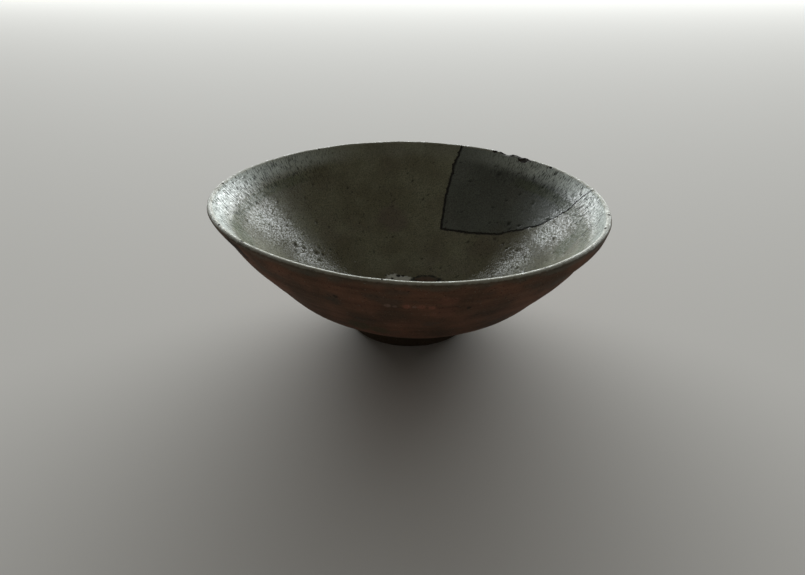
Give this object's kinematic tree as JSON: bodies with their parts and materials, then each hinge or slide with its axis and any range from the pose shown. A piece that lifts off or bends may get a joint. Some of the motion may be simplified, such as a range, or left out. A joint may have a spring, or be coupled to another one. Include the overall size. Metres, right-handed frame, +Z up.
{
  "type": "cracked bowl",
  "caption": "Thrown stoneware bowl on a small foot ring, warped at the rim, with a broken-out sherd of its wall cemented back in along a dark cracked line.",
  "frame": {"origin": "on the surface that the foot ring stands on, under the middle of the bowl's box", "axes": "+Z up; the mended sherd is at +X +Y, and the rim is lowest at +X"},
  "size_m": [0.1674, 0.1644, 0.0626],
  "materials": {
    "bowl_glaze": "thin matt grey-green ash glaze, pitted and streaked, over pinkish-brown stoneware",
    "sherd_glaze": "the same glaze, greyer and smoother, with bare clay in the chips of its lip",
    "join_cement": "old dark resinous cement, dull and dirty"
  },
  "bodies": {
    "root": {"bowl_body": "bowl_glaze", "refitted_sherd": "sherd_glaze", "join_filler": "join_cement"}
  },
  "joints": []
}
